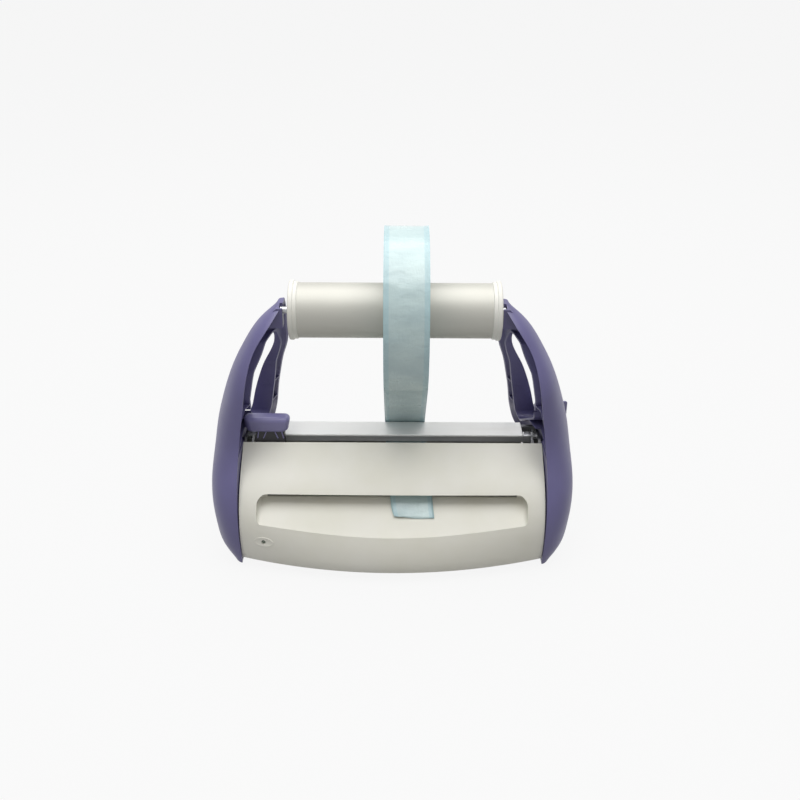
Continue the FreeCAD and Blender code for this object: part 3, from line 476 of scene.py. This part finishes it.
def wound_reel():
    """The roll of pouch film: slightly telescoped sides and a crumpled outer layer."""
    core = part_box("reel_core")[1].z - AXLE.z + 0.2 * MM
    half = REEL_WIDTH / 2
    layers, loosest = 26, 0.9 * MM
    steps = [core + (REEL_RADIUS - core) * n / layers for n in range(layers + 1)]
    slips = [loosest * (0.5 + 0.5 * math.sin(radius * 310) * math.cos(radius * 97)) for radius in steps]
    slips[-1] = 0.0
    right = [(REEL_CENTRE.x + half - slip, radius) for radius, slip in zip(steps, slips)]
    left = [(REEL_CENTRE.x - half + slip * 0.6, radius) for radius, slip in zip(steps, slips)]
    bm = bmesh.new()
    turned(bm, right + left[::-1], 168)
    bmesh.ops.recalc_face_normals(bm, faces=bm.faces)
    rim = REEL_RADIUS - 0.1 * MM
    outer = [edge for edge in bm.edges
             if reach(edge) > half and all(from_axle(vert).length > rim for vert in edge.verts)]
    bmesh.ops.subdivide_edges(bm, edges=outer, cuts=16, use_grid_fill=True)
    across = bm.verts.layers.float.new("across")
    held_within, hem = 0.3, 0.06
    for vert in bm.verts:
        vert[across] = (vert.co.x - REEL_CENTRE.x) / REEL_WIDTH + 0.5
        arm = from_axle(vert)
        if arm.length > REEL_RADIUS - 0.2 * MM:
            outwards = arm.normalized()
            held = math.exp(-((outwards - LEAVE_ARM).length / held_within) ** 2)
            inside = min(1.0, (0.5 - abs(vert[across] - 0.5)) / hem)
            vert.co -= outwards * crumpled(vert.co) * (0.25 + 0.75 * inside) * (1 - held)
    for face in bm.faces:
        face.material_index = 1 if abs(face.normal.x) > 0.7 else 0
    return as_piece("wound_film", bm, "reel", FINISHES["film"], wound_edges(), slot="film",
                    stands_for=["pouch_reel"], crease=60)


def ribbon(bm, route):
    """A band as wide as the reel along a route; returns the edge across it at each later point."""
    row = [bm.edges.new([bm.verts.new((REEL_CENTRE.x + side * REEL_WIDTH / 2, route[0].y, route[0].z))
                         for side in (-1, 1)])]
    bends = []
    for start, end in zip(route, route[1:]):
        grown = bmesh.ops.extrude_edge_only(bm, edges=row)["geom"]
        fresh = [item for item in grown if isinstance(item, bmesh.types.BMVert)]
        row = [item for item in grown
               if isinstance(item, bmesh.types.BMEdge) and all(vert in fresh for vert in item.verts)]
        bmesh.ops.translate(bm, verts=fresh, vec=end - start)
        bends += row
    return bends


def refine(bm, widest, longest):
    """Divides a band across its width once, and along its length until no edge is too long."""
    bmesh.ops.subdivide_edges(bm, edges=[edge for edge in bm.edges if reach(edge) > widest], cuts=14,
                              use_grid_fill=True)
    while long := [edge for edge in bm.edges if reach(edge) < 0.01 * MM and edge.calc_length() > longest]:
        bmesh.ops.subdivide_edges(bm, edges=long, cuts=1, use_grid_fill=True)


def lay_on_reel(vert, leave):
    """Wraps what is above the leaving line round the reel, and sinks its end under the outer layer."""
    sunk_end = 1.1 * MM
    above = (vert.co - leave).dot(UP_THE_REEL) / WRAP
    if above > 0:
        arm = from_axle(vert)
        arm *= (WEB_REACH - sunk_end * above ** 2) / arm.length
        vert.co.y, vert.co.z = AXLE.y + arm.y, AXLE.z + arm.z


def hang(vert, leave):
    """Waves the free stretch between the reel and the deck, and keeps its two ends straight."""
    deepest = 1.1 * MM
    over_deck, under_reel = 50 * MM, 30 * MM
    free = (share(vert.co.z, DECK_REAR.z, DECK_REAR.z + over_deck)
            * share(vert.co.z, leave.z, leave.z - under_reel))
    vert.co.y -= deepest * free * noise.noise(Vector((vert.co.x * 45, 3.0, vert.co.z * 26)))


def lie_on_cover(vert, across, guide, ramp, tail):
    """Drifts the film to the right under the deck, and lays its end on the ramp with one corner curled."""
    drift, sink, ripple, curl_up, curl_in = 10 * MM, 2.6 * MM, 0.5 * MM, 5.2 * MM, 6 * MM
    ramp_top = 90 * MM
    drifted = share(vert.co.y, guide.y, tail.y) if vert.co.z < DECK_REAR.z - 2 * MM else 0.0
    lying = share(vert.co.y, ramp.y, tail.y) if vert.co.z < ramp_top else 0.0
    curl = lying ** 3 * max(0.0, 0.45 - across)
    wave = (math.sin(across * 9 + lying * 5) + 1) * lying
    vert.co.x += drift * drifted ** 1.3 + curl_in * curl
    vert.co.z += curl_up * curl - sink * lying ** 0.8 * (1 - curl) + ripple * wave


def film_web():
    """The free film: off the reel, behind and under the deck, through the jaws and onto the cover's ramp."""
    leave = AXLE + LEAVE_ARM * WEB_REACH
    guide, jaws, ramp, tail = (Vector((0, y * MM, z * MM)) for y, z in
                               ((18.5, 130.5), (-24.67, 118.57), (-76.17, 85.89), (-98.22, 72.11)))
    route = [leave + UP_THE_REEL * WRAP, leave, DECK_REAR, guide, jaws, ramp, tail]
    length = sum((end - start).length for start, end in zip(route, route[1:]))
    bm = bmesh.new()
    across = bm.verts.layers.float.new("across")
    bends = ribbon(bm, route)
    soften(bm, bends[1:-1], 4 * MM, 5)
    refine(bm, 40 * MM, 4.5 * MM)
    for vert in bm.verts:
        vert[across] = (vert.co.x - REEL_CENTRE.x) / REEL_WIDTH + 0.5
        lay_on_reel(vert, leave)
        hang(vert, leave)
        lie_on_cover(vert, vert[across], guide, ramp, tail)
    piece = as_piece("pouch_film", bm, "machine", film("web_film"), slot="film", stands_for=["pouch_web"])
    thicken(piece, 0.25 * MM, 0.0)
    return piece


def roller_cap(side):
    """An end cap: a rounded flange, a narrower shoulder against the tube, and a boss round the axle."""
    node = "right_roller_cap" if side > 0 else "left_roller_cap"
    low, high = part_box(node)
    outer_face = high.x if side > 0 else low.x
    rim = (high.z - low.z) / 2 / MM
    tube = (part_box("roller_tube")[1].z - AXLE.z) / MM
    bore, boss, shoulder, sleeve = 4.2, 9.0, rim - 1.3, tube - 1.6
    outline = [(0.0, bore), (0.0, boss), (1.2, boss + 1.0), (1.2, rim - 8.5), (0.0, rim - 7.0),
               (0.0, rim - 1.5), (0.45, rim - 0.4), (1.5, rim), (4.6, rim), (5.3, rim - 0.4),
               (5.6, rim - 0.9), (5.8, shoulder), (9.2, shoulder), (9.9, shoulder - 0.3), (10.2, tube + 0.1),
               (10.2, sleeve), (22.2, sleeve), (22.2, sleeve - 3.0), (3.4, sleeve - 3.0), (3.4, boss),
               (18.0, boss), (18.0, bore)]
    bm = bmesh.new()
    turned(bm, [(outer_face - side * depth * MM, radius * MM) for depth, radius in outline], 112)
    return as_piece(node.replace("_roller_", "_end_"), bm, "roller", cap_plastic, slot="cap_plastic",
                    stands_for=[node], crease=50)


def cutter_knob():
    """The thumb grip: a soft lozenge, round at both ends and drawn in underneath."""
    low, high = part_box("cutter_knob")
    middle = (low + high) / 2
    bm = bmesh.new()
    for vert in block(bm, low, high):
        if vert.co.z < middle.z:
            vert.co.x = middle.x + (vert.co.x - middle.x) * 0.86
            vert.co.y = middle.y + (vert.co.y - middle.y) * 0.8
    upright = [edge for edge in bm.edges if abs(edge.verts[0].co.z - edge.verts[1].co.z) > 5 * MM]
    soften(bm, upright, 7.8 * MM, 10)
    top = [edge for edge in bm.edges if all(vert.co.z > high.z - 0.01 * MM for vert in edge.verts)]
    soften(bm, top, 6.2 * MM, 8)
    bottom = [edge for edge in bm.edges if all(vert.co.z < low.z + 0.01 * MM for vert in edge.verts)]
    soften(bm, bottom, 5.8 * MM, 8)
    return as_piece("thumb_grip", bm, "cutter", knob_plastic, slot="knob_plastic", stands_for=["cutter_knob"],
                    crease=60)


def grip_ribs():
    """Four leaning ribs on the front of the cutter's carriage, in the slot."""
    low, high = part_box("cutter_carriage")
    middle = (low.x + high.x) / 2
    half_rib, proud, sunk, tall = 0.7 * MM, 0.9 * MM, 0.4 * MM, 9 * MM
    bm = bmesh.new()
    for foot, top in ((-15.0, -13.6), (-8.0, -4.2), (9.6, 6.4), (16.6, 14.6)):
        place = middle + foot * MM
        for vert in block(bm, (place - half_rib, low.y - proud, high.z - tall),
                          (place + half_rib, low.y + sunk, high.z)):
            if vert.co.z > high.z - 1 * MM:
                vert.co.x += (top - foot) * MM
    soften(bm, bm.edges[:], 0.3 * MM, 2)
    return as_piece("grip_ribs", bm, "cutter", knob_plastic, slot="knob_plastic")


def rail_lip():
    """The bright top edge of the cutter's rail, past both ends of the deck."""
    low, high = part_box("cutter_rail")
    front, back = low.y - 0.9 * MM, low.y + 5 * MM
    bottom, top = DECK_HIGH.z - 3.4 * MM, DECK_HIGH.z - 0.6 * MM
    bm = bmesh.new()
    for side in (-1, 1):
        left, right = sorted((side * (DECK_HIGH.x + 0.6 * MM), side * (high.x + 0.8 * MM)))
        block(bm, (left, front, bottom), (right, back, top))
    soften(bm, bm.edges[:], 0.3 * MM, 2)
    return as_piece("rail_lip", bm, "machine", bar_aluminium, slot="steel")


def light_dish():
    """The oval rim round the status light, laid on the cover's face."""
    low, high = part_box("status_light")
    centre = (low + high) / 2
    cover = frame["nodes"]["front_cover"].data
    face = BVHTree.FromPolygons([vert.co for vert in cover.vertices],
                                [polygon.vertices for polygon in cover.polygons])
    backwards = Vector((0, 1, 0))
    bm = bmesh.new()
    rings = []
    for half_width, half_height, proud in ((12.2, 6.6, -0.4), (11.8, 6.3, 0.35), (11.2, 5.8, 0.5),
                                           (10.6, 5.3, 0.35), (9.6, 4.6, 0.08), (3.3, 3.2, 0.06),
                                           (2.9, 2.9, -0.6)):
        ring = bmesh.ops.create_circle(bm, segments=64, radius=1.0)["verts"]
        for vert in ring:
            x, z = centre.x + vert.co.x * half_width * MM, centre.z + vert.co.y * half_height * MM
            vert.co = face.ray_cast(Vector((x, -1.0, z)), backwards)[0] - backwards * proud * MM
        rings.append([edge for edge in bm.edges if edge.verts[0] in ring and edge.verts[1] in ring])
    for outer, inner in zip(rings, rings[1:]):
        bmesh.ops.bridge_loops(bm, edges=outer + inner)
    piece = as_piece("light_dish", bm, "press_lever", cover_plastic, slot="cover_plastic", crease=60)
    thicken(piece, 0.4 * MM, -1.0)
    return piece


wound_reel()
film_web()
for side in (-1, 1):
    roller_cap(side)
cutter_knob()
grip_ribs()
rail_lip()
light_dish()


# Table, light and camera


def studio_table():
    """A white table top that goes past the edge of the view and keeps a little of the object's shadow."""
    half_side = 9.0
    bm = bmesh.new()
    bmesh.ops.create_grid(bm, x_segments=1, y_segments=1, size=half_side)
    mesh = bpy.data.meshes.new("table_top")
    bm.to_mesh(mesh)
    bm.free()
    table = bpy.data.objects.new("table_top", mesh)
    bpy.context.scene.collection.objects.link(table)
    finish = Finish("table_white", Roughness=0.9)
    finish.wear(Base_Color=finish.blend(finish.cloud(3), paint("adadad"), paint("a9a9a9")))
    lit = Value(finish, finish.shader.outputs[0])
    white = finish.add("ShaderNodeEmission", {}, (1, 1, 1, 1), 1.0)
    surface = finish.add("ShaderNodeMixShader", {}, finish.looked_at() * 0.9, lit, white)
    finish.feed(finish.tree.nodes["Material Output"].inputs["Surface"], surface)
    mesh.materials.append(finish.material)


def studio_sky(strength):
    """Even white light from all round, and plain white where the camera or a mirror looks past the table."""
    world = bpy.data.worlds.new("studio")
    bpy.context.scene.world = world
    world.use_nodes = True
    sky = Nodes(world.node_tree)
    background = sky.tree.nodes["Background"]
    sky.feed(background.inputs["Color"], (1, 1, 1, 1))
    sky.feed(background.inputs["Strength"], strength + sky.looked_at() * (1 - strength))


def soft_lamp(name, place, aim, size, power):
    """A large square lamp turned towards a place on the object."""
    data = bpy.data.lights.new(name, "AREA")
    data.size = size
    data.energy = power
    lamp = bpy.data.objects.new(name, data)
    bpy.context.scene.collection.objects.link(lamp)
    facing = (Vector(aim) - Vector(place)).to_track_quat("-Z", "Y").to_matrix().to_4x4()
    lamp.matrix_world = Matrix.Translation(place) @ facing


def photo_camera():
    """The photograph's viewpoint: 29 degrees above the table, square to the front."""
    photo_pixels, focal_pixels, sensor_width = 800, 990, 36.0
    target, distance = Vector((0.0087, 0, 0.1765)), 1.211
    turn, rise, roll = (math.radians(angle) for angle in (0.14, 29.0, 0.36))
    data = bpy.data.cameras.new("photo_camera")
    data.sensor_width = sensor_width
    data.lens = focal_pixels / photo_pixels * sensor_width
    camera = bpy.data.objects.new("photo_camera", data)
    bpy.context.scene.collection.objects.link(camera)
    ahead = Vector((math.sin(turn) * math.cos(rise), math.cos(turn) * math.cos(rise), -math.sin(rise)))
    right = Vector((math.cos(turn), -math.sin(turn), 0))
    up = right.cross(ahead)
    tilted = right * math.cos(roll) + up * math.sin(roll)
    upright = up * math.cos(roll) - right * math.sin(roll)
    facing = Matrix((tilted, upright, -ahead)).transposed().to_4x4()
    camera.matrix_world = Matrix.Translation(target - ahead * distance) @ facing
    bpy.context.scene.camera = camera


dress_nodes()
studio_table()
studio_sky(0.3)
soft_lamp("overhead", (0.0, 0.15, 2.1), (0, 0, 0.15), 2.4, 56)
soft_lamp("front_left", (-0.9, -1.15, 1.8), (0, 0, 0.15), 1.1, 4)
soft_lamp("front_right", (0.9, -1.15, 1.8), (0, 0, 0.15), 1.1, 2)
photo_camera()
bpy.context.scene.view_settings.view_transform = "Standard"
